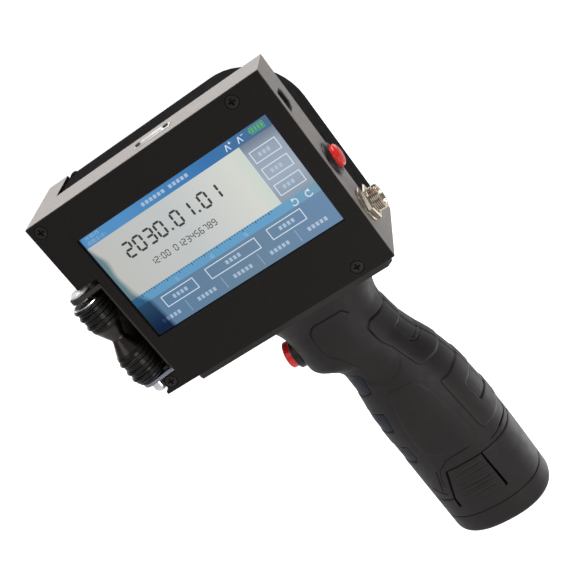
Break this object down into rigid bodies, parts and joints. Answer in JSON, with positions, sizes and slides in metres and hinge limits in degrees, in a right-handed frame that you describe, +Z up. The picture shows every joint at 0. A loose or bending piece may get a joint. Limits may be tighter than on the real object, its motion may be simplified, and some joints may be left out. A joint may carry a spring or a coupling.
{
  "type": "hand-held date code inkjet printer",
  "caption": "Pistol-grip date code inkjet printer with a touch screen box, measuring roller, hinged cartridge cover, trigger and slide-out battery.",
  "frame": {"origin": "centre of the battery's flat underside, below the middle of the grip", "axes": "+Z up along the grip, -X towards the print end with the roller, -Y towards the user's side with the screen"},
  "size_m": [0.1359, 0.0544, 0.2435],
  "materials": {
    "chassis_paint": "fine textured satin coat",
    "panel_black": "satin black coat",
    "screw_black": "blackened steel",
    "screen_glass": "polished cover glass over a lit screen",
    "board_green": "solder mask",
    "bright_steel": "bright plated",
    "light_metal": "plain sheet",
    "nickel": "polished nickel plate",
    "gold_contact": "gold plated",
    "red_plastic": "glossy",
    "cover_black": "fine moulded texture",
    "cartridge_black": "moulded",
    "roller_rubber": "satin",
    "grip_plastic": "soft touch, fine texture",
    "cell_wrap": "glossy shrink film over the can"
  },
  "bodies": {
    "housing": {"chassis": "chassis_paint", "front_panel": "panel_black", "panel_screw_1": "screw_black", "panel_screw_2": "screw_black", "panel_screw_3": "screw_black", "panel_screw_4": "screw_black", "display_glass": "screen_glass", "display_module": "light_metal", "mainboard": "board_green", "board_processor": "cartridge_black", "latch_plate": "bright_steel", "latch_plate_screw_1": "screw_black", "latch_plate_screw_2": "screw_black", "usb_port": "bright_steel", "power_button_bezel": "cover_black", "power_button_nut": "bright_steel", "connector_body": "nickel", "connector_nut": "nickel", "connector_insert": "cover_black", "cover_hinge_pin": "bright_steel", "cartridge_holder": "cartridge_black", "ink_cartridge": "cartridge_black", "cartridge_nozzle_plate": "gold_contact", "cartridge_contact_board": "board_green", "cartridge_clip": "bright_steel", "print_guard": "cover_black", "roller_bracket": "cover_black", "roller_axle": "bright_steel", "roller_cap_nut_top": "bright_steel", "roller_cap_nut_bottom": "bright_steel", "encoder_sensor": "cartridge_black", "grip_flange": "grip_plastic", "grip_shell_near": "grip_plastic", "grip_shell_far": "grip_plastic", "grip_screw_1": "screw_black", "grip_screw_2": "screw_black", "trigger_bezel": "cover_black", "trigger_switch": "cartridge_black", "battery_contact_block": "cartridge_black"},
    "roller": {"roller_spool": "roller_rubber", "roller_ring_1": "roller_rubber", "roller_ring_2": "roller_rubber", "roller_ring_3": "roller_rubber", "roller_ring_4": "roller_rubber", "roller_ring_5": "roller_rubber", "roller_ring_6": "roller_rubber", "encoder_disc": "cover_black"},
    "power_button": {"power_button_cap": "red_plastic"},
    "trigger": {"trigger_cap": "red_plastic"},
    "cover": {"bay_cover": "cover_black"},
    "battery": {"battery_case": "grip_plastic", "battery_base_cap": "grip_plastic", "battery_cell_1": "cell_wrap", "battery_cell_2": "cell_wrap", "battery_cell_3": "cell_wrap"},
    "latch_near": {"battery_latch_near": "grip_plastic"},
    "latch_far": {"battery_latch_far": "grip_plastic"}
  },
  "joints": [
    {"name": "roller_spin", "type": "hinge", "parent": "housing", "child": "roller", "pos_m": [-0.08755, -0.02125, 0.1809], "axis": [0, 0, 1], "continuous": true},
    {"name": "power_press", "type": "slide", "parent": "housing", "child": "power_button", "axis": [-1, 0, 0], "range_m": [0, 0.0015]},
    {"name": "trigger_press", "type": "slide", "parent": "housing", "child": "trigger", "axis": [0.9976, 0, -0.0698], "range_m": [0, 0.0025]},
    {"name": "cover_open", "type": "hinge", "parent": "housing", "child": "cover", "pos_m": [-0.0219, 0.02285, 0.1583], "axis": [-1, 0, 0], "range_deg": [0, 85]},
    {"name": "battery_slide", "type": "slide", "parent": "housing", "child": "battery", "axis": [0, 0, -1], "range_m": [0, 0.05]},
    {"name": "latch_near_press", "type": "slide", "parent": "battery", "child": "latch_near", "axis": [0, 1, 0], "range_m": [0, 0.0012]},
    {"name": "latch_far_press", "type": "slide", "parent": "battery", "child": "latch_far", "axis": [0, -1, 0], "range_m": [0, 0.0012]}
  ]
}
